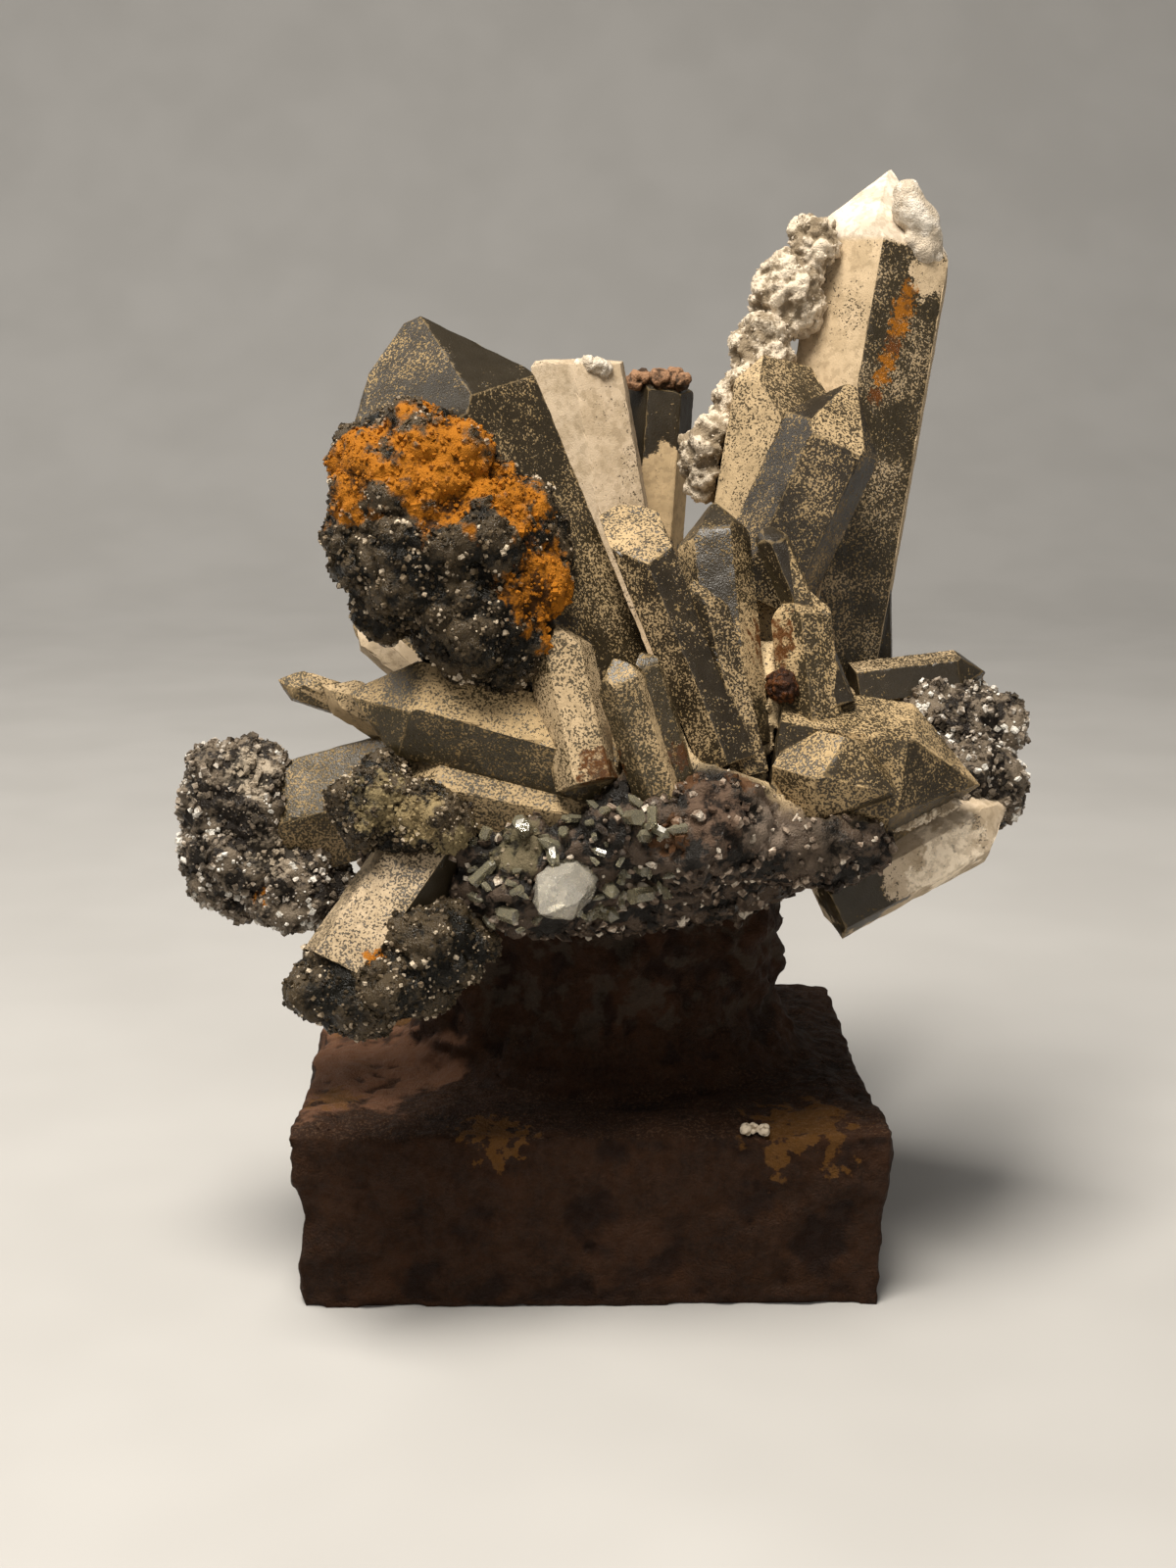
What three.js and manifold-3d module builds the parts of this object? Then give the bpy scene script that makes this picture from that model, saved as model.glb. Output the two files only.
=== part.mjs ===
// Smoky quartz crystals on a lump of dark matrix rock, held up by a rough plastered display block.
// Millimetres, +Z up. The origin is the centre of the block's flat underside, and the front looks along -Y.

import * as THREE from 'three';
import { ConvexGeometry } from 'three/addons/geometries/ConvexGeometry.js';
import { mergeVertices } from 'three/addons/utils/BufferGeometryUtils.js';
import Module from 'manifold-3d';

const wasm = await Module();
wasm.setup();

// Driving dimensions

const BLOCK = {
  width: 100, depth: 80, height: 32, cell: 8,
  rough: 1.1, waves: [17, 7], edgeWear: 1.4, wearWave: 9, topFlare: 1.2, squareness: 9,
};
const NECK = {
  at: [4, 4], radius: [31, 21], foot: 27, top: 72, flare: 16, flareHeight: 17,
  rough: 2.2, waves: [14, 6], columns: 22, courses: 6,
};
const GAP = 0.3; // clearance between pieces that touch
const SLOPE_ALLOWANCE = 1.6; // how much further a rough mass grows, so that its steep sides keep the gap too
const RHOMB_ANGLE = THREE.MathUtils.degToRad(51.8); // from the axis to the normal of a face of the point

// A mass's surface is a coarse wave and a finer one, with pits where a third wave is high
const SWELL_SHARES = [0.6, 0.4];
const FINE_WAVE_SHARE = 0.6;
const PIT = { size: 0.8, start: 0.25, depth: 1.5 };

// Tolerances
const WELD = 1e-4;
const SAME_CORNER = 1e-3;
const INSIDE = 1e-5;
const PARALLEL = 1e-6;

// Each crystal: foot and tip of its axis, girth from the axis to its prism faces, and how far it is turned about
// the axis. At turn 0 the first face looks to the front. sides scales the girth of each face, and caps says how far
// past the tip each face of the point meets the axis. cuts are breaks, each a point and where the broken face looks.

const CRYSTALS = {
  left_crystals: [
    { foot: [0.4, -29, 94], tip: [-28.7, -18, 164.3], girth: 14.2, turn: -16, caps: [0, 2.5, 3.5, 2, 3, 7.5] },
    { foot: [0, -48, 94], tip: [-6, -38, 119.5], girth: 4.8, turn: 10, caps: [2, 0, 2, 0, 2, 0] },
    { foot: [4, -40, 95], tip: [-37, -39, 107], girth: 7.8, turn: -16, caps: [1, 0, 2, 3, 3, 2] },
    { foot: [4, -42, 86], tip: [-32, -42, 94], girth: 5.9, turn: -16, caps: [1, 0, 2, 3, 3, 2] },
  ],
  right_tall_crystals: [
    {
      foot: [37.5, 2, 92], tip: [56.2, 26.8, 191], girth: 10.9, turn: -42,
      sides: [1, 1.12, 1.18, 1, 1, 1], caps: [0, -1, -1, 3, 2, 0],
    },
    { foot: [57, 17, 168], tip: [61.5, 22, 181.5], girth: 5, turn: -10, caps: [0, 1, 1, 2, 1, 1] },
    { foot: [24.5, -9, 92], tip: [35.6, 3.5, 157.5], girth: 8.8, turn: -35, caps: [6, 0, 5, 6, 0, 6] },
    { foot: [29, -13, 118], tip: [45.4, -8.2, 153], girth: 7.8, turn: 0, caps: [0, 1, 2, 2, 3, 2] },
    { foot: [49, 3, 92], tip: [48, 11, 144], girth: 6.5, turn: 20, caps: [0, 2, 4, 4, 4, 0] },
  ],
  back_crystals: [
    {
      foot: [10, 20, 92], tip: [-2.5, 36, 164], girth: 8.3, turn: 25, caps: [2, 2, 2, 2, 2, 2],
      cuts: [{ at: [-1, 34, 156], facing: [0.02, 0, 1] }],
    },
    {
      foot: [10.5, 30, 92], tip: [15.6, 45, 156], girth: 5.6, turn: 5, caps: [0, 2, 1, 2, 1, 2],
      cuts: [{ at: [15, 44, 152], facing: [0.3, -0.2, 1] }],
    },
  ],
  middle_crystals: [
    {
      foot: [22.5, -43, 96], tip: [4.4, -29.7, 140], girth: 4.6, turn: -30, caps: [8, 8, 2, 1, 2, 8],
      cuts: [{ at: [7, -33.5, 131.4], facing: [-0.08, -0.57, 0.82] }],
    },
    { foot: [25.4, -42, 94], tip: [18, -35, 124], girth: 3.6, turn: -30, caps: [3, 2, 0, 0, 0, 3] },
    { foot: [23.5, -38, 98], tip: [20.5, -20, 135], girth: 5.3, turn: -5, caps: [1, 2, 1, 2, 1, 0] },
  ],
  front_crystals: [
    { foot: [13.4, -51, 85], tip: [3.6, -50, 114.6], girth: 3.5, turn: 12, caps: [1, 2, 0, 0, 0, 2] },
    { foot: [16.8, -49, 86], tip: [8, -47, 115], girth: 2.5, turn: 20, caps: [1, 2, 0, 0, 0, 2] },
  ],
  left_outer_crystals: [
    { foot: [-22, -22, 90], tip: [-62, -22, 79], girth: 9.6, turn: -20, caps: [1, 0, 2, 3, 3, 2] },
    { foot: [-26, -20, 97], tip: [-51, -22, 106], girth: 2.6, turn: -10, caps: [1, 0, 1, 2, 2, 1] },
    { foot: [-29, -23, 96], tip: [-43, -25, 105.5], girth: 3.2, turn: 10, caps: [1, 0, 1, 2, 2, 1] },
  ],
  lower_left_crystal: [
    {
      foot: [-25, -42, 82], tip: [-45, -57, 56], girth: 7.4, turn: 24, caps: [4, 4, 4, 4, 4, 4],
      cuts: [{ at: [-41, -53, 66.5], facing: [-0.45, -0.35, -0.8] }],
    },
  ],
  right_front_crystals: [
    { foot: [41, -36, 104], tip: [29.5, -25, 132], girth: 2.5, turn: 20, caps: [0, 1, 2, 1, 2, 1] },
    { foot: [37, -38, 96], tip: [34.5, -27, 123], girth: 4.9, turn: 24, caps: [0, 1, 3, 2, 0, 1] },
    { foot: [30, -33, 95], tip: [63, -35, 90], girth: 10.8, turn: -10, caps: [1, 0, 2, 3, 3, 2] },
    { foot: [34, -38, 94], tip: [47, -48, 92], girth: 7.5, turn: 20, caps: [1, 0, 2, 3, 3, 2] },
  ],
  right_outer_crystal: [
    { foot: [46, -13, 102], tip: [68.5, -10, 104], girth: 4.6, turn: -20, caps: [1, 0, 2, 3, 3, 2] },
  ],
  right_shard: [
    { foot: [40, -33, 69.5], tip: [71, -25, 84], girth: 5.6, turn: 0, caps: [1, 0, 2, 3, 3, 2] },
  ],
  clear_front_crystal: [
    { foot: [-2, -50, 80], tip: [-7.5, -60, 77], girth: 4, turn: 10, caps: [0, 1, 1, 1, 1, 1] },
  ],
  small_white_crystal: [
    { foot: [-22, -4, 96], tip: [-40, 2, 111], girth: 2.8, turn: 0, caps: [0, 1, 1, 1, 1, 1] },
  ],
  rear_left_crystals: [
    { foot: [-8, 12, 92], tip: [-36, 38, 132], girth: 5.6, turn: 15, caps: [2, 1, 0, 2, 0, 1] },
    { foot: [-12, 18, 90], tip: [-44, 40, 108], girth: 4.6, turn: -10, caps: [2, 1, 0, 2, 0, 1] },
  ],
  rear_middle_crystal: [
    { foot: [0, 24, 82], tip: [-8, 58, 96], girth: 6, turn: 5, caps: [1, 0, 1, 0, 2, 1] },
  ],
  rear_right_crystal: [
    { foot: [22, 20, 82], tip: [36, 54, 92], girth: 5.4, turn: 25, caps: [1, 0, 1, 0, 2, 1] },
  ],
};

// Each mass of grains or rock: the point that it spreads from, the rounded lumps that it fills, how rough it is and
// how finely it is faceted.

const DRUSES = {
  ochre_druse: {
    from: [-23, -36, 131], rough: 2.8, grain: 7, detail: 5,
    lumps: [
      { at: [-27, -35, 140], size: [12, 11, 11.5] },
      { at: [-23, -36, 130], size: [18, 12.5, 14] },
      { at: [-16, -39, 121], size: [13, 10, 12] },
    ],
  },
  left_end_druse: {
    from: [-57, -24, 81], rough: 2, grain: 5, detail: 4,
    lumps: [
      { at: [-58, -24, 86], size: [9.5, 8, 9] },
      { at: [-57, -25, 77], size: [10, 9, 9] },
      { at: [-49, -27, 72], size: [8, 8, 6] },
    ],
  },
  right_end_druse: {
    from: [62, -13, 91], rough: 2, grain: 5, detail: 4,
    lumps: [
      { at: [61.5, -11, 95], size: [12, 11, 8] },
      { at: [63, -17, 87], size: [11, 10, 9] },
    ],
  },
  middle_left_druse: {
    from: [-31, -47, 89.5], rough: 1.3, grain: 3.5, detail: 3,
    lumps: [
      { at: [-34, -46, 91], size: [6, 6, 5.4] },
      { at: [-27, -48, 88], size: [7, 5, 4.6] },
    ],
  },
  lower_left_druse: {
    from: [-33, -54, 63.5], rough: 1.3, grain: 4, detail: 4,
    lumps: [
      { at: [-38.5, -53, 62], size: [8, 7, 5.4] },
      { at: [-31, -53, 64], size: [8, 7, 5.6] },
      { at: [-25, -51, 68], size: [8, 7, 6.4] },
    ],
  },
  rust_ball: {
    from: [31.2, -38, 108], rough: 0.4, grain: 1.6, detail: 1,
    lumps: [{ at: [31.2, -38, 108], size: [2.6, 2.6, 2.6] }],
  },
};

const CRUST = { rough: 1.9, grain: 3.4, detail: 2 };
const CRUST_LUMPS = [
  { at: [41, 16, 177], size: [4.6, 5, 5] },
  { at: [36, 14, 168], size: [6, 6, 7.5] },
  { at: [31.5, 10, 158], size: [5, 6, 7.5] },
  { at: [27, 7, 149], size: [4.4, 5.4, 7.5] },
  { at: [23, 4, 141], size: [6.2, 6, 8] },
];

const MATRIX = {
  from: [6, -8, 84], rough: 2.6, grain: 8, detail: 8,
  lumps: [
    { at: [6, -6, 82], size: [42, 40, 22] },
    { at: [-8, -44, 79], size: [13, 13, 11] },
    { at: [14, -45, 87], size: [18, 14, 11] },
    { at: [10, -34, 96], size: [17, 12, 10] },
    { at: [29, -24, 99], size: [17, 14, 14] },
    { at: [36, -36, 84], size: [15, 15, 10] },
    { at: [52, -12, 91], size: [17, 15, 10] },
    { at: [-24, -34, 80], size: [14, 16, 12] },
    { at: [2, 24, 84], size: [30, 20, 14] },
  ],
};

// Small helpers

const v3 = (a) => new THREE.Vector3(...a);

function hash(x, y, z) {
  const s = Math.sin(x * 127.1 + y * 311.7 + z * 74.7) * 43758.5453;
  return s - Math.floor(s);
}

// Smooth noise from -1 to 1, with cells of the given size
function noise(p, size) {
  const [x, y, z] = [p.x / size, p.y / size, p.z / size];
  const [i, j, k] = [Math.floor(x), Math.floor(y), Math.floor(z)];
  const ease = (t) => t * t * (3 - 2 * t);
  const [u, v, w] = [ease(x - i), ease(y - j), ease(z - k)];
  let sum = 0;
  for (const [a, wa] of [[0, 1 - u], [1, u]])
    for (const [b, wb] of [[0, 1 - v], [1, v]])
      for (const [c, wc] of [[0, 1 - w], [1, w]]) sum += hash(i + a, j + b, k + c) * wa * wb * wc;
  return 2 * sum - 1;
}

// A coarse wave and a finer one on top of it
const waves = (p, [coarse, fine]) => noise(p, coarse) + FINE_WAVE_SHARE * noise(p, fine);

function moveVertices(geometry, move) {
  const position = geometry.getAttribute('position');
  const p = new THREE.Vector3();
  for (let i = 0; i < position.count; i++) {
    p.fromBufferAttribute(position, i);
    move(p);
    position.setXYZ(i, p.x, p.y, p.z);
  }
  return geometry;
}

function bare(geometry) {
  const extra = Object.keys(geometry.attributes).filter((name) => name !== 'position');
  for (const name of extra) geometry.deleteAttribute(name);
  return mergeVertices(geometry, WELD);
}

// A closed geometry as a solid that can be joined and cut
function solidOf(geometry) {
  const merged = bare(geometry);
  const vertProperties = merged.attributes.position.array;
  const triVerts = new Uint32Array(merged.index.array);
  return new wasm.Manifold(new wasm.Mesh({ numProp: 3, vertProperties, triVerts }));
}

function geometryOf(solid) {
  const mesh = solid.getMesh();
  return new THREE.BufferGeometry()
    .setAttribute('position', new THREE.BufferAttribute(mesh.vertProperties, 3))
    .setIndex(new THREE.BufferAttribute(mesh.triVerts, 1));
}

const joined = (solids) => solids.reduce((all, solid) => all.add(solid));

// The main body of a cut solid, without the crumbs that the cut leaves
function mainBody(solid) {
  return solid.decompose().reduce((best, body) => (body.volume() > best.volume() ? body : best));
}

// Crystals

function crystalPlanes({ foot, tip, girth, turn = 0, sides = [], caps = [], cuts = [] }, grow) {
  const start = v3(foot);
  const end = v3(tip);
  const axis = end.clone().sub(start).normalize();
  const front = new THREE.Vector3(0, -1, 0).projectOnPlane(axis).normalize();
  const right = axis.clone().cross(front);
  const through = (normal, point) => new THREE.Plane().setFromNormalAndCoplanarPoint(normal, point);
  const planes = [through(axis.clone().negate(), start)];
  for (let k = 0; k < 6; k++) {
    const angle = THREE.MathUtils.degToRad(turn + 60 * k);
    const out = front.clone().multiplyScalar(Math.cos(angle)).addScaledVector(right, Math.sin(angle));
    const slope = out.clone().multiplyScalar(Math.sin(RHOMB_ANGLE)).addScaledVector(axis, Math.cos(RHOMB_ANGLE));
    planes.push(through(out, start.clone().addScaledVector(out, girth * (sides[k] ?? 1))));
    planes.push(through(slope, end.clone().addScaledVector(axis, caps[k] ?? 0)));
  }
  for (const { at, facing } of cuts) planes.push(through(v3(facing).normalize(), v3(at)));
  for (const plane of planes) plane.constant -= grow;
  return planes;
}

function meeting(a, b, c) {
  const bc = b.normal.clone().cross(c.normal);
  const det = a.normal.dot(bc);
  if (Math.abs(det) < PARALLEL) return null;
  return bc
    .multiplyScalar(-a.constant)
    .addScaledVector(c.normal.clone().cross(a.normal), -b.constant)
    .addScaledVector(a.normal.clone().cross(b.normal), -c.constant)
    .divideScalar(det);
}

// The convex body inside all the planes of one crystal
function crystalSolid(crystal, grow = 0) {
  const planes = crystalPlanes(crystal, grow);
  const corners = [];
  for (let i = 0; i < planes.length; i++)
    for (let j = i + 1; j < planes.length; j++)
      for (let k = j + 1; k < planes.length; k++) {
        const corner = meeting(planes[i], planes[j], planes[k]);
        if (!corner || planes.some((plane) => plane.distanceToPoint(corner) > INSIDE)) continue;
        if (!corners.some((other) => other.distanceTo(corner) < SAME_CORNER)) corners.push(corner);
      }
  return solidOf(new ConvexGeometry(corners));
}

const crystalGroup = (crystals, grow = 0) => joined(crystals.map((crystal) => crystalSolid(crystal, grow)));

// Rounded masses with a rough, pitted surface

// How far a ray from the given point runs before it leaves the lump, or 0 where it misses it
function rayExit(from, direction, { at, size }) {
  const half = v3(size);
  const start = from.clone().sub(v3(at)).divide(half);
  const way = direction.clone().divide(half);
  const [a, b, c] = [way.dot(way), start.dot(way), start.dot(start) - 1];
  const root = b * b - a * c;
  return root < 0 ? 0 : (Math.sqrt(root) - b) / a;
}

function massSolid({ from, lumps, rough, grain, detail }, grow = 0) {
  const centre = v3(from);
  const geometry = moveVertices(new THREE.IcosahedronGeometry(1, detail), (p) => {
    const direction = p.clone().normalize();
    const reach = Math.max(...lumps.map((lump) => rayExit(centre, direction, lump)));
    const place = direction.clone().multiplyScalar(reach).add(centre);
    const swell = SWELL_SHARES[0] * noise(place, grain) + SWELL_SHARES[1] * noise(place, grain / 2);
    const pit = PIT.depth * Math.max(0, noise(place, grain * PIT.size) - PIT.start);
    const length = reach + rough * (swell - pit) + SLOPE_ALLOWANCE * grow;
    p.copy(direction).multiplyScalar(length).add(centre);
  });
  return solidOf(geometry);
}

function crustSolid(grow = 0) {
  return joined(CRUST_LUMPS.map((lump) => massSolid({ ...CRUST, from: lump.at, lumps: [lump] }, grow)));
}

// The display block, with its lumpy top and sides and its flat underside, and the neck that holds the rock

function blockSolid() {
  const { width, depth, height, cell, rough, edgeWear, wearWave, topFlare, squareness } = BLOCK;
  const cells = [width, depth, height].map((length) => Math.round(length / cell));
  const geometry = new THREE.BoxGeometry(width, depth, height, ...cells).translate(0, 0, height / 2);
  return solidOf(
    moveVertices(geometry, (p) => {
      const side = new THREE.Vector3(p.x / width, p.y / depth, p.z / height - 0.5).multiplyScalar(2);
      const onEdge = p.z > 0 && side.toArray().filter((a) => Math.abs(a) > 0.99).length > 1;
      const wave = rough * waves(p, BLOCK.waves);
      const wear = onEdge ? edgeWear * (0.6 + 0.4 * noise(p, wearWave)) : 0;
      const flare = topFlare * (p.z / height) ** 2;
      const onTop = side.z > 0.99;
      p.x += (wave + flare - wear) * side.x ** squareness;
      p.y += (wave + flare - wear) * side.y ** squareness;
      if (onTop) p.z += wave - wear;
    }),
  );
}

function neckSolid() {
  const { at, radius, foot, top, flare, flareHeight, rough, columns, courses } = NECK;
  const geometry = new THREE.CylinderGeometry(1, 1, top - foot, columns, courses)
    .rotateX(Math.PI / 2)
    .translate(0, 0, (foot + top) / 2);
  return solidOf(
    moveVertices(geometry, (p) => {
      const rise = Math.max(0, 1 - (p.z - foot) / flareHeight);
      const out = Math.hypot(p.x, p.y);
      const place = new THREE.Vector3(p.x * radius[0], p.y * radius[1], p.z);
      const swell = flare * rise ** 2 + rough * waves(place, NECK.waves);
      const reach = (out * (1 + swell / radius[0])) / (out || 1);
      p.set(at[0] + p.x * reach * radius[0], at[1] + p.y * reach * radius[1], p.z);
    }),
  );
}

// Put the pieces together, each one cut clear of those that were there before it

const look = (color, roughness, metalness = 0) => new THREE.MeshStandardMaterial({ color, roughness, metalness });
const LOOKS = {
  quartz: look(0x8a7c62, 0.45),
  ochre_druse: look(0x3a3029, 0.8),
  white_crust: look(0xe9e2d4, 0.8),
  left_end_druse: look(0x6f685e, 0.8),
  right_end_druse: look(0x77706a, 0.8),
  middle_left_druse: look(0x77694a, 0.8),
  lower_left_druse: look(0x2d2a27, 0.8),
  rust_ball: look(0x6a3210, 0.9),
  matrix: look(0x4a423a, 0.85),
  plaster: look(0x7a5548, 0.9),
};

const root = new THREE.Group();

function addNode(name, solid, material) {
  const mesh = new THREE.Mesh(geometryOf(solid), material);
  mesh.name = name;
  root.add(mesh);
}

let taken = null; // everything placed so far, grown by the gap
const take = (solid) => (taken = taken ? taken.add(solid) : solid);

for (const [name, crystals] of Object.entries(CRYSTALS)) {
  addNode(name, crystalGroup(crystals), LOOKS.quartz);
  take(crystalGroup(crystals, GAP));
}

addNode('white_crust', mainBody(crustSolid().subtract(taken)), LOOKS.white_crust);
take(crustSolid(GAP));

for (const [name, mass] of Object.entries(DRUSES)) {
  addNode(name, mainBody(massSolid(mass).subtract(taken)), LOOKS[name]);
  take(massSolid(mass, GAP));
}

addNode('matrix_rock', mainBody(massSolid(MATRIX).subtract(taken)), LOOKS.matrix);
take(massSolid(MATRIX, GAP));

addNode('display_base', mainBody(blockSolid().add(neckSolid()).subtract(taken)), LOOKS.plaster);

export default root;
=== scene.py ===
"""Smoky quartz crystals on their matrix, in a rough plastered display block: the finish of every surface."""

import math

import bmesh
import bpy
import numpy as np
from mathutils import Matrix, Vector, noise


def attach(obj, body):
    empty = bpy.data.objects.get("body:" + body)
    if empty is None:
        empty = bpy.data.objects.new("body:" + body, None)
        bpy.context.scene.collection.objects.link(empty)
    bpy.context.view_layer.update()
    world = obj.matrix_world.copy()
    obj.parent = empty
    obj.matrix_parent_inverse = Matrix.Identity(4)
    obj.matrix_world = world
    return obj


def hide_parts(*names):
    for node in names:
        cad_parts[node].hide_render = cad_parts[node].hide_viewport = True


MM = 0.001

# The camera, in metres, and its lens, in millimetres
CAMERA_PLACE = (-0.0055, -0.393, 0.177)
CAMERA_YAW = math.radians(0.87)
CAMERA_PITCH = math.radians(13.49)
SENSOR_LONG_SIDE = 36.0
FOCAL_LENGTH = 51.5
NEAREST_SEEN = 0.01

# Mesh fineness, in millimetres, and the angle from which an edge is sharp
WELD = 0.0005
CRYSTAL_EDGE = 1.8
FINE_CRYSTAL_EDGE = 1.15
SHARP_ANGLE = math.radians(24)
ROCK_CELL = 0.95
BASE_CELL = 0.9
BIG_DRUSE_CELL = 0.6
DRUSE_CELL = 0.5
CRUST_CELL = 0.42
CRUMB_CELL = 0.35
FINE_CRUMB_CELL = 0.16
BALL_CELL = 0.2

# How the cover differs from facet to facet, and how near a facet's plane and facing a patch has to be
FACET_SPREAD = 0.14
PATCH_REACH = 0.4
SAME_FACING = 0.985

# The least and most that worn edges lose, and how long the worn stretches are, in millimetres
EDGE_LOSS = (0.06, 0.45)
WORN_STRETCH = 1.9

# The percentiles of a rough mass's relief that count as its low places and as its tops; the paints darken the
# low places as painted shade
HOLLOWS_AND_TOPS = (4, 90)
# The higher this power is, the more of the grains are small
SMALL_GRAINS = 2.5
# How far a second layer of lumps is shifted, in millimetres, so that it differs from the first
SECOND_LUMPS = Vector((9, 4, 2))

# The sandy hollow between the crystals, in millimetres: its lowest height, its front limit and their softness
HOLLOW_HEIGHT = 90
HOLLOW_FRONT = -51
HOLLOW_EDGE = 4

# Where broken glassy crystals stand in the front rim, in millimetres
GLASSY_X = (-19, 14)
GLASSY_Y = -44
GLASSY_Z = (72, 93)

# The base, in millimetres: where its neck starts, how high its flat foot is, and its pitted corner
NECK_START = 36
FLAT_FOOT = 1.2
PITTED_CORNER = (-36, -12)
PITTED_RADIUS = 13

# Colours, linear
SMOKY = (0.016, 0.0115, 0.0065, 1)
SMOKY_CLOUD = (0.045, 0.034, 0.020, 1)
OLIVE = (0.070, 0.052, 0.020, 1)
DUST = (0.175, 0.117, 0.046, 1)
SAND = (0.44, 0.315, 0.165, 1)
PALE_SAND = (0.58, 0.435, 0.25, 1)
DULL_SAND = (0.27, 0.195, 0.105, 1)
DARK_SAND = (0.20, 0.145, 0.080, 1)
CREAM = (0.53, 0.425, 0.305, 1)
# Painted light on the right shard
PAINTED_LIGHT_CREAM = (0.86, 0.73, 0.56, 1)
WHITE = (0.66, 0.575, 0.47, 1)
OCHRE = (0.345, 0.120, 0.004, 1)
OCHRE_DARK = (0.14, 0.045, 0.005, 1)
RUST = (0.095, 0.036, 0.008, 1)
# Black rock; also the painted shade of the matrix's low places
BLACK_ROCK_AND_SHADE = (0.010, 0.008, 0.006, 1)
BROWN_ROCK = (0.055, 0.036, 0.024, 1)
GREY_BROWN = (0.075, 0.052, 0.036, 1)
PINKISH = (0.42, 0.24, 0.15, 1)
CLEAR_GLASS = (0.96, 0.90, 0.77, 1)
GREENISH_GLASS = (0.46, 0.42, 0.29, 1)
PLASTER_BROWN = (0.012, 0.0048, 0.0018, 1)
PLASTER_RED = (0.026, 0.0105, 0.0040, 1)
PLASTER_WORN = (0.040, 0.0165, 0.0068, 1)
PLASTER_FADED = (0.048, 0.020, 0.009, 1)
# Painted light on the block's top towards the left
PLASTER_PAINTED_LIGHT = (0.20, 0.095, 0.052, 1)
# Painted shade in the plaster's pits and low places
PLASTER_PIT_SHADE = (0.008, 0.003, 0.0015, 1)
PLASTER_OCHRE = (0.14, 0.062, 0.012, 1)
PLASTER_GREY = (0.050, 0.039, 0.028, 1)
PLASTER_DUST = (0.22, 0.13, 0.08, 1)
FLOOR_DARKER = (0.41, 0.40, 0.385, 1)
FLOOR_PALER = (0.44, 0.43, 0.415, 1)

# How quartz bends light, how much of a clear body is seen through, and what it absorbs per metre
QUARTZ_IOR = 1.544
CLEAR_SHARE = 0.74
SMOKY_ABSORPTION = ((0.42, 0.32, 0.20, 1), 90)
CLEAR_ABSORPTION = ((0.86, 0.82, 0.66, 1), 22)

# The room's own light, and the lamps: name, place and size in metres, power in watts and colour
ROOM_LIGHT = (1.0, 0.98, 0.95, 1)
ROOM_STRENGTH = 0.22
LIT_PLACE = (0, 0, 0.11)
LAMPS = [
    ("key", (-0.12, -0.24, 0.80), 0.32, 11.4, (1.0, 0.94, 0.85)),
    ("front_fill", (0.30, -0.85, 0.35), 0.6, 1.3, (1.0, 0.93, 0.84)),
    ("back_fill", (-0.75, 0.45, 0.80), 0.6, 3.4, (1.0, 0.97, 0.92)),
]

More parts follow.
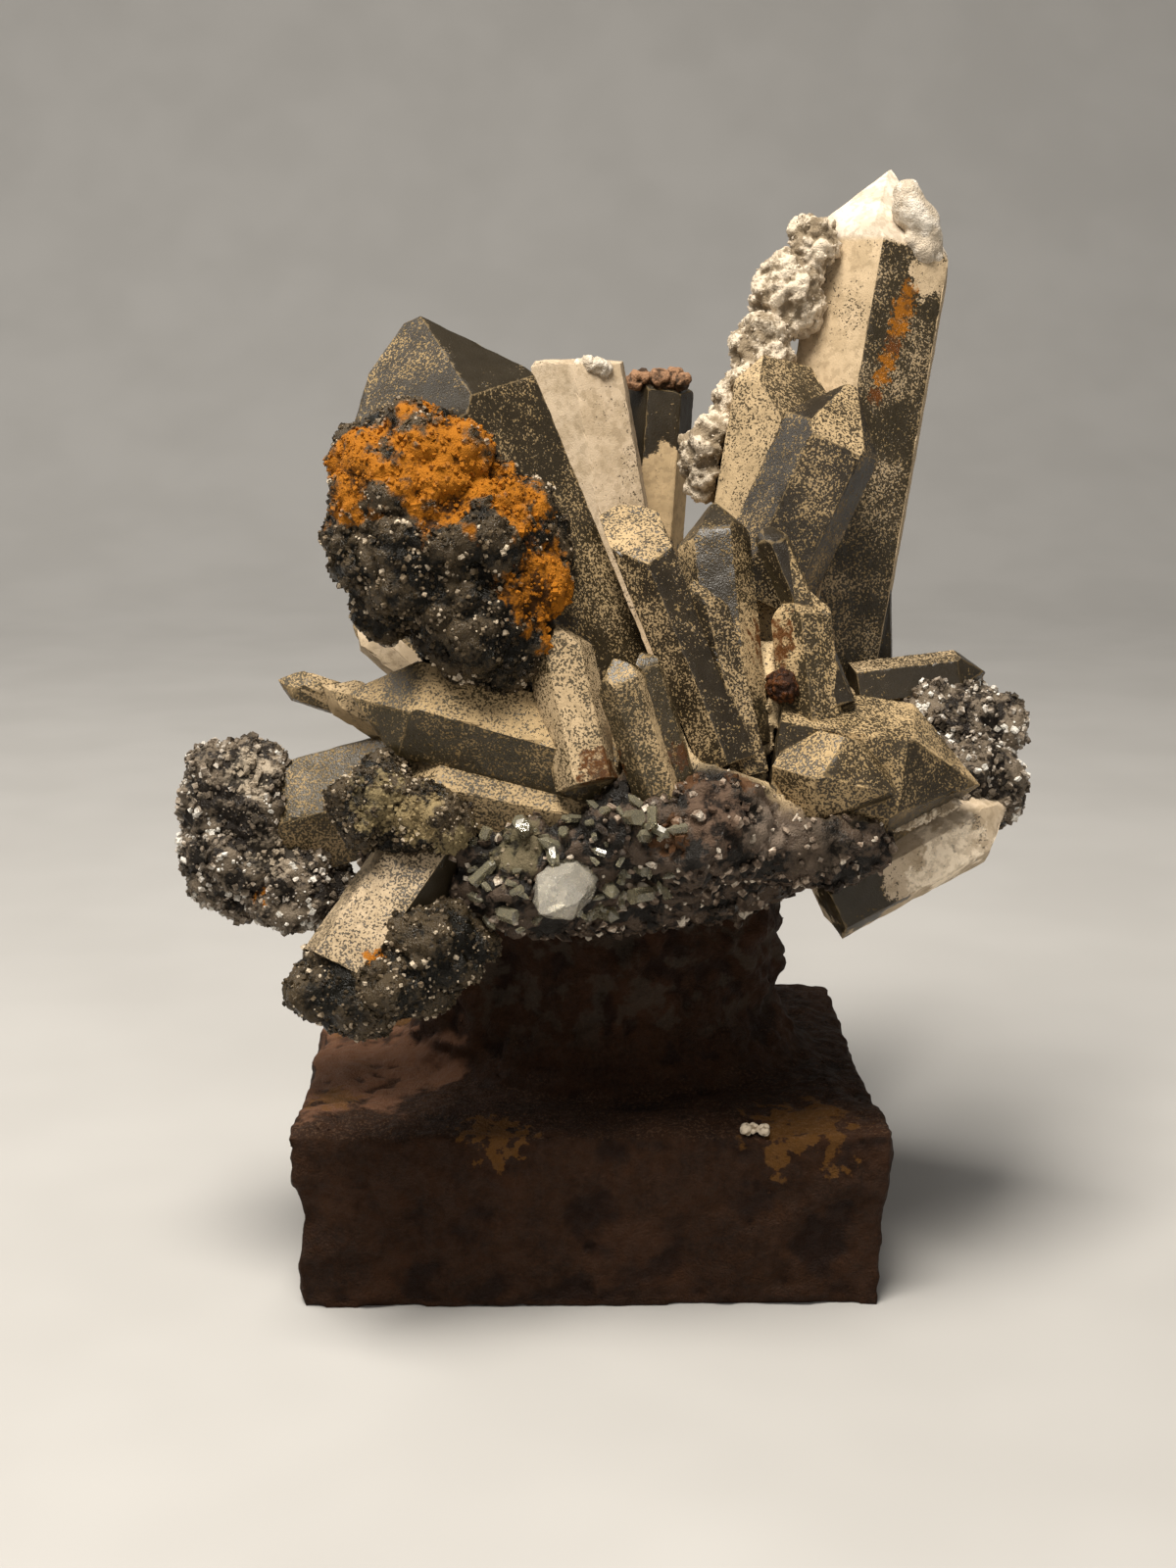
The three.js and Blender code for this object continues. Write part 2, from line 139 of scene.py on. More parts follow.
# The crystals of each node: foot, tip and girth in millimetres, then how much sand covers it, how creamy that
# sand is, how olive its body is and how clear
CRYSTALS = {
    "left_crystals": [
        ((0.4, -29, 94), (-28.7, -18, 164.3), 14.2, 0.37, 0.0, 0.15, 0.35),
        ((0, -48, 94), (-6, -38, 119.5), 4.8, 0.66, 0.3, 0.5, 0.3),
        ((4, -40, 95), (-37, -39, 107), 7.8, 0.52, 0.0, 0.7, 0.4),
        ((4, -42, 86), (-32, -42, 94), 5.9, 0.50, 0.1, 0.5, 0.35),
    ],
    "right_tall_crystals": [
        ((37.5, 2, 92), (56.2, 26.8, 191), 10.9, 0.90, 0.50, 0.3, 0.35),
        ((57, 17, 168), (61.5, 22, 181.5), 5, 0.97, 1.0, 0.0, 0.2),
        ((24.5, -9, 92), (35.6, 3.5, 157.5), 8.8, 0.80, 0.2, 0.2, 0.25),
        ((29, -13, 118), (45.4, -8.2, 153), 7.8, 0.32, 0.1, 0.0, 0.3),
        ((49, 3, 92), (48, 11, 144), 6.5, 0.16, 0.1, 0.3, 0.45),
    ],
    "back_crystals": [
        ((10, 20, 92), (-2.5, 36, 164), 8.3, 0.88, 0.9, 0.1, 0.2),
        ((10.5, 30, 92), (15.6, 45, 156), 5.6, 0.10, 0.2, 0.1, 0.2),
    ],
    "middle_crystals": [
        ((22.5, -43, 96), (4.4, -29.7, 140), 4.6, 0.41, 0.1, 0.0, 0.3),
        ((25.4, -42, 94), (18, -35, 124), 3.6, 0.46, 0.1, 0.0, 0.3),
        ((23.5, -38, 98), (20.5, -20, 135), 5.3, 0.38, 0.0, 0.1, 0.3),
    ],
    "front_crystals": [
        ((13.4, -51, 85), (3.6, -50, 114.6), 3.5, 0.60, 0.1, 0.7, 0.4),
        ((16.8, -49, 86), (8, -47, 115), 2.5, 0.36, 0.1, 0.5, 0.35),
    ],
    "left_outer_crystals": [
        ((-22, -22, 90), (-62, -22, 79), 9.6, 0.50, 0.1, 0.6, 0.3),
        ((-26, -20, 97), (-51, -22, 106), 2.6, 0.45, 0.1, 0.8, 0.4),
        ((-29, -23, 96), (-43, -25, 105.5), 3.2, 0.75, 0.2, 0.4, 0.3),
    ],
    "lower_left_crystal": [((-25, -42, 82), (-45, -57, 56), 7.4, 0.58, 0.6, 0.1, 0.25)],
    "right_front_crystals": [
        ((41, -36, 104), (29.5, -25, 132), 2.5, 0.30, 0.1, 0.0, 0.3),
        ((37, -38, 96), (34.5, -27, 123), 4.9, 0.40, 0.0, 0.2, 0.3),
        ((30, -33, 95), (63, -35, 90), 10.8, 0.50, 0.0, 0.1, 0.2),
        ((34, -38, 94), (47, -48, 92), 7.5, 0.46, 0.0, 0.1, 0.2),
    ],
    "right_outer_crystal": [((46, -13, 102), (68.5, -10, 104), 4.6, 0.34, 0.3, 0.1, 0.25)],
    "right_shard": [((40, -33, 69.5), (71, -25, 84), 5.6, 1.05, 1.0, 0.3, 0.3)],
    "clear_front_crystal": [((-2, -50, 80), (-7.5, -60, 77), 4, 0.1, 0.5, 0.3, 0.9)],
    "small_white_crystal": [((-22, -4, 96), (-40, 2, 111), 2.8, 0.92, 0.9, 0.1, 0.3)],
    "rear_left_crystals": [
        ((-14, 20, 92), (-36, 38, 132), 8.0, 0.50, 0.2, 0.2, 0.25),
        ((-20, 26, 88), (-44, 40, 108), 6.0, 0.60, 0.2, 0.3, 0.25),
    ],
    "rear_middle_crystal": [((2, 30, 84), (-8, 58, 96), 7.0, 0.60, 0.3, 0.2, 0.25)],
    "rear_right_crystal": [((20, 30, 84), (36, 54, 92), 7.0, 0.55, 0.2, 0.2, 0.25)],
}


# Mesh making

def cad_copy(node):
    """A welded copy of a CAD node's mesh, in metres."""
    copy = bmesh.new()
    copy.from_mesh(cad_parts[node].data)
    bmesh.ops.remove_doubles(copy, verts=copy.verts, dist=WELD * MM)
    return copy


def mesh_object(name, mesh, material):
    """A new object that shows the mesh in one material."""
    piece = bpy.data.objects.new(name, mesh)
    bpy.context.scene.collection.objects.link(piece)
    mesh.materials.clear()
    mesh.materials.append(material)
    return piece


def refined(corners, faces, source, longest):
    """Halves edges longer than the given length until none is left. `source` is a triangle's first face."""
    while True:
        sides = np.sort(faces[:, [[0, 1], [1, 2], [2, 0]]], axis=2).reshape(-1, 2)
        edges, place = np.unique(sides, axis=0, return_inverse=True)
        is_long = np.linalg.norm(corners[edges[:, 0]] - corners[edges[:, 1]], axis=1) > longest
        if not is_long.any():
            return corners, faces, source
        middle = np.full(len(edges), -1)
        middle[is_long] = len(corners) + np.arange(is_long.sum())
        corners = np.vstack([corners, corners[edges[is_long]].mean(axis=1)])
        middles = middle[place.reshape(-1)].reshape(-1, 3)
        cuts = (middles >= 0).sum(axis=1)
        # One cut edge is turned to be the first, and one whole edge the last
        first = np.where(cuts == 1, np.argmax(middles >= 0, axis=1), 0)
        first = np.where(cuts == 2, (np.argmin(middles >= 0, axis=1) + 1) % 3, first)
        turn = (first[:, None] + np.arange(3)) % 3
        rows = np.arange(len(faces))[:, None]
        a, b, c = faces[rows, turn].T
        ab, bc, ca = middles[rows, turn].T
        one, two, three = cuts == 1, cuts == 2, cuts == 3
        pieces = [
            (cuts == 0, (a, b, c)), (one, (a, ab, c)), (one, (ab, b, c)),
            (two, (ab, b, bc)), (two, (a, ab, bc)), (two, (a, bc, c)),
            (three, (a, ab, ca)), (three, (ab, b, bc)), (three, (ca, bc, c)), (three, (ab, bc, ca)),
        ]
        faces = np.vstack([np.stack(corner_rows, 1)[chosen] for chosen, corner_rows in pieces])
        source = np.concatenate([source[chosen] for chosen, _ in pieces])


def worn_corners(faces, normals, count):
    """1 for each corner that lies on a sharp edge, else 0."""
    sides = np.sort(faces[:, [[0, 1], [1, 2], [2, 0]]], axis=2).reshape(-1, 2)
    owner = np.repeat(np.arange(len(faces)), 3)
    order = np.lexsort((sides[:, 1], sides[:, 0]))
    sides, owner = sides[order], owner[order]
    paired = np.all(sides[1:] == sides[:-1], axis=1)
    bend = np.einsum("ij,ij->i", normals[owner[1:]], normals[owner[:-1]])
    sharp = sides[1:][paired & (bend < math.cos(SHARP_ANGLE))]
    worn = np.zeros(count)
    worn[sharp.reshape(-1)] = 1
    return worn


def clamped(value):
    """The value held between 0 and 1."""
    return min(1.0, max(0.0, value))


def cloud(place, size):
    """Smooth noise from about -1 to 1, with features of the given size in millimetres."""
    return noise.noise(place / size)


def lumps(place, size):
    """Rounded bumps from 0 between them to 1 at their tops."""
    nearest = noise.voronoi(place / size)[0][0]
    return max(0.0, 1 - 1.6 * nearest * nearest)


def ridges(place, size):
    """Sharp crests where smooth noise crosses zero."""
    return 1 - min(1.0, 3 * abs(noise.noise(place / size)))


def relief(*layers):
    """The height in millimetres that layers of (form, size, height) make at a place in millimetres."""
    def height_at(place, normal, index):
        return sum(form(place, size) * height for form, size, height in layers)
    return height_at


def moved_out(mesh, height_at):
    """Moves each vertex along its normal by `height_at(place, normal, index)`, in millimetres."""
    mesh.update()
    corners = np.empty(len(mesh.vertices) * 3, np.float32)
    normals = np.empty_like(corners)
    mesh.vertices.foreach_get("co", corners)
    mesh.vertices.foreach_get("normal", normals)
    corners, normals = corners.reshape(-1, 3), normals.reshape(-1, 3)
    heights = [
        height_at(Vector(place), Vector(normal), index)
        for index, (place, normal) in enumerate(zip((corners / MM).tolist(), normals.tolist()))
    ]
    heights = np.array(heights, np.float32)
    corners += normals * (heights[:, None] * MM)
    mesh.vertices.foreach_set("co", corners.reshape(-1))
    mesh.update()
    return heights


def remeshed(shape, voxel):
    """The shape as an even mesh of cells of the given size in millimetres."""
    rough = bpy.data.meshes.new("rough")
    shape.to_mesh(rough)
    shape.free()
    holder = bpy.data.objects.new("rough", rough)
    bpy.context.scene.collection.objects.link(holder)
    cells = holder.modifiers.new("cells", "REMESH")
    cells.mode = "VOXEL"
    cells.voxel_size = voxel * MM
    graph = bpy.context.evaluated_depsgraph_get()
    mesh = bpy.data.meshes.new_from_object(holder.evaluated_get(graph))
    bpy.data.objects.remove(holder)
    bpy.data.meshes.remove(rough)
    return mesh


def fine_grain(draw):
    """Corners and triangles of an angular grain about 1 across."""
    ball = bmesh.new()
    bmesh.ops.create_icosphere(ball, subdivisions=1, radius=0.5)
    corners = np.array([v.co[:] for v in ball.verts])
    faces = np.array([[v.index for v in f.verts] for f in ball.faces])
    ball.free()
    corners *= draw.uniform(0.5, 1.25, (len(corners), 1))
    return corners, faces


def prism_grain(draw):
    """Corners and triangles of a stubby six-sided crystal about 1 long, pointed at its far end."""
    sides = 6
    turn = np.arange(sides) * 2 * math.pi / sides
    ring = np.stack([np.cos(turn), np.sin(turn), np.zeros(sides)], 1) * 0.26
    low = ring + [0, 0, -0.5]
    high = ring * draw.uniform(0.85, 1.0) + [0, 0, draw.uniform(0.1, 0.3)]
    tip = np.array([[draw.uniform(-0.1, 0.1), draw.uniform(-0.1, 0.1), 0.55]])
    corners = np.vstack([low, high, tip, [[0, 0, -0.5]]])
    top, bottom = 2 * sides, 2 * sides + 1
    faces = []
    for k in range(sides):
        after = (k + 1) % sides
        faces.append((k, after, sides + after))
        faces.append((k, sides + after, sides + k))
        faces.append((sides + k, sides + after, top))
        faces.append((after, k, bottom))
    return corners, np.array(faces)


def cube_grain(draw):
    """Corners and triangles of a blocky grain about 1 across."""
    corners = np.array([(x, y, z) for x in (-0.4, 0.4) for y in (-0.4, 0.4) for z in (-0.4, 0.4)], float)
    corners *= draw.uniform(0.75, 1.15, (8, 1))
    quads = [(0, 1, 3, 2), (4, 6, 7, 5), (0, 4, 5, 1), (2, 3, 7, 6), (0, 2, 6, 4), (1, 5, 7, 3)]
    faces = [t for a, b, c, d in quads for t in ((a, b, c), (a, c, d))]
    return corners, np.array(faces)


def random_turn(draw):
    """A rotation matrix drawn evenly."""
    q = draw.normal(size=4)
    q /= np.linalg.norm(q)
    w, x, y, z = q
    return np.array([
        [1 - 2 * (y * y + z * z), 2 * (x * y - z * w), 2 * (x * z + y * w)],
        [2 * (x * y + z * w), 1 - 2 * (x * x + z * z), 2 * (y * z - x * w)],
        [2 * (x * z - y * w), 2 * (y * z + x * w), 1 - 2 * (x * x + y * y)],
    ])


def surface_points(mesh, count, draw, wanted=None):
    """Places in millimetres and normals over the mesh, where `wanted(place, normal)` is more than a draw."""
    mesh.calc_loop_triangles()
    corners = np.array([v.co[:] for v in mesh.vertices]) / MM
    faces = np.array([t.vertices[:] for t in mesh.loop_triangles])
    a, b, c = corners[faces[:, 0]], corners[faces[:, 1]], corners[faces[:, 2]]
    cross = np.cross(b - a, c - a)
    area = np.linalg.norm(cross, axis=1)
    chosen = draw.choice(len(faces), count, p=area / area.sum())
    u, v = draw.random((2, count, 1))
    flip = u + v > 1
    u, v = np.where(flip, 1 - u, u), np.where(flip, 1 - v, v)
    places = a[chosen] + u * (b[chosen] - a[chosen]) + v * (c[chosen] - a[chosen])
    normals = cross[chosen] / np.maximum(area[chosen, None], 1e-9)
    if wanted:
        keep = [wanted(Vector(p), Vector(n)) > draw.random() for p, n in zip(places, normals)]
        places, normals = places[keep], normals[keep]
    return places, normals


def grains_on(mesh, count, small, large, draw, maker, wanted=None, sink=0.15, stretch=1.6):
    """Grains set in the mesh's surface: corners in metres, triangles and the tone of each corner."""
    all_corners, all_faces, tones = [], [], []
    start = 0
    places, normals = surface_points(mesh, count, draw, wanted)
    for place, normal in zip(places, normals):
        corners, faces = maker(draw)
        size = small + (large - small) * draw.random() ** SMALL_GRAINS
        corners = corners * size * draw.uniform(1 / stretch, 1, 3)
        corners = corners @ random_turn(draw).T + place + normal * size * (0.25 - sink)
        all_corners.append(corners * MM)
        all_faces.append(faces + start)
        tones.append(np.full(len(corners), draw.uniform(0.05, 1)))
        start += len(corners)
    return np.vstack(all_corners), np.vstack(all_faces), np.concatenate(tones)


def with_grains(mesh, heights, batches):
    """The mesh and its grains as one. `tone` is 0 on the mesh and more on grains, `rise` 0 in its low places,
    which the paints darken as painted shade.
    """
    low, high = np.percentile(heights, HOLLOWS_AND_TOPS)
    rises = [np.clip((heights - low) / (high - low), 0, 1)]
    corners = [np.array([v.co[:] for v in mesh.vertices])]
    faces = [list(p.vertices) for p in mesh.polygons]
    tones = [np.zeros(len(mesh.vertices))]
    start = len(mesh.vertices)
    grain_faces = 0
    for more_corners, more_faces, more_tones in batches:
        corners.append(more_corners)
        faces.extend((more_faces + start).tolist())
        tones.append(more_tones)
        rises.append(np.ones(len(more_tones)))
        start += len(more_corners)
        grain_faces += len(more_faces)
    joined = bpy.data.meshes.new(mesh.name)
    joined.from_pydata(np.vstack(corners).tolist(), [], faces)
    for name, values in (("tone", tones), ("rise", rises)):
        attribute = joined.attributes.new(name, "FLOAT", "POINT")
        attribute.data.foreach_set("value", np.concatenate(values).astype(np.float32))
    smooth = np.ones(len(faces), bool)
    smooth[len(faces) - grain_faces:] = False
    joined.polygons.foreach_set("use_smooth", smooth)
    bpy.data.meshes.remove(mesh)
    joined.update()
    return joined


# Material making

class Paint:
    """The node graph of one material. Places and sizes are millimetres in the part's own frame."""

    def __init__(self, name):
        self.material = bpy.data.materials.new(name)
        self.material.use_nodes = True
        self.tree = self.material.node_tree
        self.shader = self.tree.nodes["Principled BSDF"]
        self.output = self.tree.nodes["Material Output"]
        frame_place = self.node("ShaderNodeTexCoord").outputs["Object"]
        self.place = self.vector("MULTIPLY", frame_place, (1 / MM, 1 / MM, 1 / MM))
        self.normal = self.node("ShaderNodeNewGeometry").outputs["Normal"]

    def node(self, kind, **settings):
        new = self.tree.nodes.new(kind)
        for key, value in settings.items():
            setattr(new, key, value)
        return new

    def put(self, socket, value):
        if isinstance(value, bpy.types.NodeSocket):
            self.tree.links.new(value, socket)
        else:
            socket.default_value = value

    def math(self, operation, a, b):
        new = self.node("ShaderNodeMath", operation=operation)
        self.put(new.inputs[0], a)
        self.put(new.inputs[1], b)
        return new.outputs[0]

    def vector(self, operation, a, b):
        new = self.node("ShaderNodeVectorMath", operation=operation)
        self.put(new.inputs[0], a)
        self.put(new.inputs[1], b)
        return new.outputs["Value" if operation in ("DOT_PRODUCT", "DISTANCE") else "Vector"]

    def total(self, *terms):
        result = terms[0]
        for term in terms[1:]:
            result = self.math("ADD", result, term)
        return result

    def times(self, a, b):
        return self.math("MULTIPLY", a, b)

    def step(self, value, low, high, start=0.0, end=1.0):
        """Runs smoothly from start to end as the value goes from low to high."""
        new = self.node("ShaderNodeMapRange", interpolation_type="SMOOTHSTEP")
        sockets = ("Value", "From Min", "From Max", "To Min", "To Max")
        for socket, number in zip(sockets, (value, low, high, start, end)):
            self.put(new.inputs[socket], number)
        return new.outputs["Result"]

    def cloud(self, size, detail):
        """Noise spread over 0 to 1, with features of the given size."""
        new = self.node("ShaderNodeTexNoise")
        self.put(new.inputs["Vector"], self.place)
        new.inputs["Scale"].default_value = 1 / size
        new.inputs["Detail"].default_value = detail
        new.inputs["Roughness"].default_value = 0.55
        return self.step(new.outputs["Fac"], 0.28, 0.72)

    def swing(self, size, detail, width):
        """Noise from minus half the width to plus half of it."""
        return self.times(self.math("SUBTRACT", self.cloud(size, detail), 0.5), width)

    def mix(self, amount, a, b):
        new = self.node("ShaderNodeMix", data_type="RGBA")
        self.put(new.inputs["Factor"], amount)
        self.put(new.inputs[6], a)
        self.put(new.inputs[7], b)
        return new.outputs[2]

    def ramp(self, value, stops):
        new = self.node("ShaderNodeValToRGB")
        self.put(new.inputs["Fac"], value)
        band = new.color_ramp.elements
        for k, (at, colour) in enumerate(stops):
            element = band[k] if k < 2 else band.new(at)
            element.position = at
            element.color = colour
        return new.outputs["Color"]

    def attribute(self, name):
        return self.node("ShaderNodeAttribute", attribute_name=name).outputs["Fac"]

    def near(self, centre, radius, ragged=0.35):
        """1 inside a ball, with an edge that noise makes ragged."""
        distance = self.vector("DISTANCE", self.place, centre)
        wander = self.swing(radius * 0.5, 4, radius * ragged * 2)
        return self.step(self.total(distance, wander), radius * 1.15, radius * 0.8)

    def past(self, direction, start, soft):
        """1 where the place is further along a direction than start."""
        return self.step(self.vector("DOT_PRODUCT", self.place, direction), start, start + soft)

    def upward(self, low, high):
        """1 where the surface faces up."""
        return self.step(self.vector("DOT_PRODUCT", self.normal, (0, 0, 1)), low, high)

    def bump(self, height, strength, distance):
        """A bump of the given distance in millimetres on the shader."""
        new = self.node("ShaderNodeBump")
        new.inputs["Strength"].default_value = strength
        new.inputs["Distance"].default_value = distance * MM
        self.put(new.inputs["Height"], height)
        self.put(self.shader.inputs["Normal"], new.outputs["Normal"])

    def finish(self, colour, roughness, **numbers):
        self.put(self.shader.inputs["Base Color"], colour)
        self.put(self.shader.inputs["Roughness"], roughness)
        for socket, value in numbers.items():
            self.put(self.shader.inputs[socket.replace("_", " ")], value)
        return self.material

    def absorb(self, colour, density):
        """Darkens what shows through by the depth of the body."""
        new = self.node("ShaderNodeVolumeAbsorption")
        new.inputs["Color"].default_value = colour
        new.inputs["Density"].default_value = density
        self.put(self.output.inputs["Volume"], new.outputs[0])


# Stains on the crystals, and one patch of painted light on the right shard: centre, radius and colour
STAINS_AND_PAINTED_LIGHT = [
    ((57.2, 9.6, 169.5), 1.6, OCHRE),
    ((56.2, 8.9, 166.3), 2.0, OCHRE),
    ((55.2, 8.2, 163.2), 1.9, OCHRE),
    ((54.2, 7.5, 160.2), 1.7, OCHRE_DARK),
    ((53.1, 6.7, 157.4), 1.8, OCHRE),
    ((51.9, 5.8, 154.4), 1.6, OCHRE),
    ((50.8, 4.9, 151.4), 1.4, OCHRE_DARK),
    ((1.5, -51.6, 97.5), 3.4, RUST),
    ((14.3, -50.2, 99.4), 2.0, RUST),
    ((30.3, -32.2, 114.5), 4.0, RUST),
    ((11.8, -55.0, 88.5), 3.0, RUST),
    ((-34.0, -58.0, 68.5), 1.5, OCHRE),
    # Painted light: a paler patch on the right shard, whose face turns from the key lamp
    ((60.0, -34.0, 77.5), 6.5, PAINTED_LIGHT_CREAM),
]
# Facets whose cover differs from their crystal's: on some the sand lies thicker or thinner, on others the
# change is painted shade and painted light that darken or lighten a facet after how the light falls on it. A
# place on each, the way it faces and what it adds
FACET_SAND_AND_SHADE = [
    ((57.6, 8.6, 160.3), (0.35, -0.92, 0.17), -0.46),
    ((39.8, 3.5, 154.7), (0.45, -0.59, 0.67), -0.36),
    ((41.3, -14.2, 148.4), (0.30, -0.70, 0.64), 0.30),
    ((7.1, -32.8, 131.9), (-0.08, -0.57, 0.82), 0.18),
    ((34.1, -33.3, 120.0), (0.24, -0.43, 0.87), 0.40),
    ((-37.3, -54.0, 75.2), (-0.09, -0.83, 0.55), 0.10),
    ((-26.6, -52.8, 76.4), (0.67, -0.74, -0.09), -0.50),
    ((-18.8, -47.2, 100.5), (-0.10, -0.96, -0.26), -0.30),
    ((52.7, -12.4, 107.2), (-0.06, -0.17, 0.98), 0.22),
    ((-10.2, -23.6, 157.8), (0.24, -0.47, 0.85), -0.20),
    ((-15.8, -48.4, 91.2), (-0.06, -0.96, -0.27), 0.06),
]
# The white point of the tallest crystal: the way its axis runs, how far along it starts and how softly
WHITE_CAP = ((0.180, 0.239, 0.954), 181.3, 1.6)
# Where the sand lies thicker or thinner: centre, radius and what it adds to the cover
COVER_PATCHES = [
    ((61.0, 13.5, 172.0), 4.5, 0.50),
    ((-5.0, -46.0, 103.0), 8.0, 0.10),
    ((28.0, -32.0, 112.0), 8.0, 0.26),
    ((43.6, -37.8, 71.6), 8.5, -0.80),
    ((18.0, 35.0, 130.0), 11.0, 0.80),
    ((-19.0, -26.0, 157.0), 12.0, -0.05),
    ((24.0, -6.0, 128.0), 8.0, 0.10),
]
# The sand's grains on the crystals: their size, detail and share
SPECK_SIZES = ((0.36, 1.0, 0.62), (0.8, 2.0, 0.26), (2.2, 2.0, 0.12))
# How thick a film of dust lies where no grain does, at least and at most
FILM = (0.01, 0.22)
# Ochre tints on the plaster: centre and radius
PLASTER_TINTS = (((-45, -21, 31), 5), ((-16, -38, 32), 4.5), ((37, -35, 31.5), 7), ((-38, 22, 32), 8))

WHITE_STOPS = [(0.0, (0.30, 0.23, 0.15, 1)), (1.0, WHITE)]
# The finishes of rough masses. `hollow_shade` is the painted shade of the mass's low places, `ground` colours
# the rest of the mass, and `stops` the grains by brightness.
# `patches` are centre, radius and colour. `sand` is the height from which sand lies and how softly it starts.
GRAIN_FINISHES = {
    "matrix": dict(
        hollow_shade=BLACK_ROCK_AND_SHADE, ground=GREY_BROWN, sand=(86, 6), shine=0.3, blotches=1.9, cling=0.6,
        stops=[
            (0.0, BLACK_ROCK_AND_SHADE), (0.35, (0.030, 0.020, 0.014, 1)), (0.55, (0.085, 0.058, 0.040, 1)),
            (0.70, (0.22, 0.165, 0.12, 1)), (0.84, (0.46, 0.355, 0.27, 1)), (1.0, (0.76, 0.67, 0.55, 1)),
        ],
        patches=[
            ((12, -57, 88), 3.0, RUST), ((15, -52, 96), 2.4, RUST), ((24, -50, 95), 2.4, RUST),
            ((20, -55, 91), 5.0, (0.13, 0.080, 0.052, 1)), ((28, -53, 88), 4.5, (0.22, 0.17, 0.13, 1)),
            ((-12, -54, 86), 5.0, (0.16, 0.135, 0.075, 1)), ((36, -50, 84), 4.5, (0.12, 0.09, 0.065, 1)),
            ((14, -56, 96), 2.2, (0.52, 0.42, 0.34, 1)), ((22, -55, 97), 2.0, (0.55, 0.44, 0.35, 1)),
        ],
    ),
    "dark_grains": dict(
        hollow_shade=(0.004, 0.003, 0.001, 1), ground=(0.058, 0.041, 0.022, 1), shine=0.2,
        # The brightest tones stand partly for pale grains and partly for painted glints
        stops=[
            (0.0, (0.010, 0.007, 0.004, 1)), (0.45, (0.040, 0.028, 0.014, 1)),
            (0.72, (0.115, 0.082, 0.047, 1)), (0.88, (0.26, 0.20, 0.135, 1)), (1.0, (0.66, 0.55, 0.41, 1)),
        ],
        patches=[
            ((-22.0, -43.0, 143.5), 9.5, OCHRE), ((-35.0, -40.0, 142.0), 7.5, OCHRE),
            ((-13.0, -41.5, 137.0), 6.5, OCHRE), ((-12.5, -43.5, 130.5), 3.6, OCHRE_DARK),
            ((-7.5, -44.0, 124.5), 6.6, OCHRE), ((-4.5, -42.0, 118.5), 5.2, OCHRE),
            ((-34.0, -58.0, 68.5), 1.6, OCHRE), ((-33.0, -50.0, 91.5), 4.5, (0.24, 0.185, 0.092, 1)),
            ((-26.5, -51.0, 89.5), 4.0, (0.26, 0.195, 0.096, 1)),
            ((-20.5, -52.5, 85.5), 3.2, (0.20, 0.155, 0.078, 1)),
        ],
    ),
    "pale_grains": dict(
        hollow_shade=(0.014, 0.010, 0.007, 1), ground=(0.16, 0.125, 0.088, 1), shine=0.3, blotches=1.7,
        stops=[
            (0.0, (0.03, 0.024, 0.017, 1)), (0.4, (0.11, 0.085, 0.062, 1)), (0.6, (0.25, 0.20, 0.15, 1)),
            (0.8, (0.48, 0.42, 0.35, 1)), (0.92, (0.70, 0.65, 0.58, 1)), (1.0, (0.82, 0.79, 0.72, 1)),
        ],
        patches=[
            ((-60, -30, 84), 1.8, OCHRE), ((-51, -31, 95), 1.6, OCHRE_DARK), ((-54, -33, 71.5), 1.9, OCHRE),
            ((-56, -30, 92), 4.0, (0.38, 0.315, 0.235, 1)), ((-62, -28, 86), 3.0, (0.33, 0.27, 0.20, 1)),
            ((-52, -34, 79), 3.4, (0.30, 0.245, 0.18, 1)),
        ],
    ),
    "white_crust": dict(
        hollow_shade=(0.24, 0.185, 0.12, 1), ground=(0.66, 0.56, 0.43, 1), stops=WHITE_STOPS, shine=0.6,
    ),
    "white_lump": dict(
        hollow_shade=(0.50, 0.42, 0.32, 1), ground=(0.72, 0.65, 0.55, 1), stops=WHITE_STOPS, shine=0.35,
    ),
    "pinkish_crumbs": dict(
        hollow_shade=(0.045, 0.024, 0.012, 1), ground=(0.30, 0.165, 0.090, 1), shine=0.6,
        stops=[(0.0, BROWN_ROCK), (1.0, PINKISH)],
    ),
    "rust": dict(
        hollow_shade=(0.022, 0.007, 0.002, 1), ground=(0.085, 0.026, 0.004, 1), shine=0.45,
        stops=[(0.0, RUST), (1.0, OCHRE_DARK)],
    ),
}


